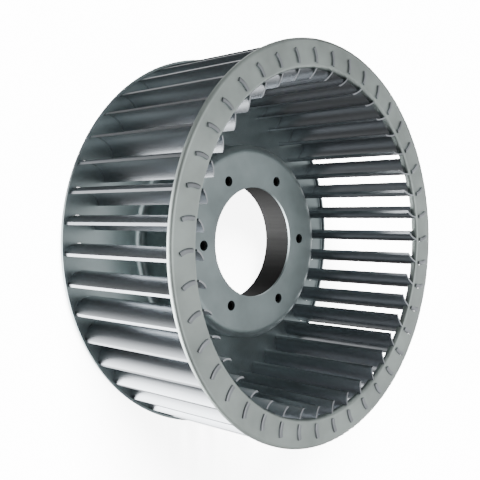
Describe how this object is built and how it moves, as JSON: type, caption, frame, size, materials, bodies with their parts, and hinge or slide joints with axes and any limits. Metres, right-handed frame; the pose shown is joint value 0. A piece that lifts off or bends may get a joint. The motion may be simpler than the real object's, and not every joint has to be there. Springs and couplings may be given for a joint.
{
  "type": "centrifugal blower wheel",
  "caption": "Forward-curved centrifugal blower wheel in galvanised sheet steel: curved blades staked between an inlet ring and a back plate with a drawn hub.",
  "frame": {"origin": "on the wheel axis, at the undersides of the folded rear tabs that the wheel stands on", "axes": "+Z along the wheel axis, from the back plate to the inlet ring; +X through the first bolt hole"},
  "size_m": [0.25, 0.25, 0.102],
  "materials": {
    "ring_sheet": "galvanised, dull grey green",
    "plate_sheet": "galvanised, smooth satin",
    "ring_steel": "bare turned steel, dark",
    "blade_sheet": "galvanised, smooth satin"
  },
  "bodies": {
    "root": {"front_ring": "ring_sheet", "back_plate": "plate_sheet", "hub_ring": "ring_steel", "blade_01": "blade_sheet", "blade_02": "blade_sheet", "blade_03": "blade_sheet", "blade_04": "blade_sheet", "blade_05": "blade_sheet", "blade_06": "blade_sheet", "blade_07": "blade_sheet", "blade_08": "blade_sheet", "blade_09": "blade_sheet", "blade_10": "blade_sheet", "blade_11": "blade_sheet", "blade_12": "blade_sheet", "blade_13": "blade_sheet", "blade_14": "blade_sheet", "blade_15": "blade_sheet", "blade_16": "blade_sheet", "blade_17": "blade_sheet", "blade_18": "blade_sheet", "blade_19": "blade_sheet", "blade_20": "blade_sheet", "blade_21": "blade_sheet", "blade_22": "blade_sheet", "blade_23": "blade_sheet", "blade_24": "blade_sheet", "blade_25": "blade_sheet", "blade_26": "blade_sheet", "blade_27": "blade_sheet", "blade_28": "blade_sheet", "blade_29": "blade_sheet", "blade_30": "blade_sheet", "blade_31": "blade_sheet", "blade_32": "blade_sheet", "blade_33": "blade_sheet", "blade_34": "blade_sheet", "blade_35": "blade_sheet", "blade_36": "blade_sheet", "blade_37": "blade_sheet", "blade_38": "blade_sheet", "blade_39": "blade_sheet", "blade_40": "blade_sheet", "blade_41": "blade_sheet", "blade_42": "blade_sheet"}
  },
  "joints": []
}
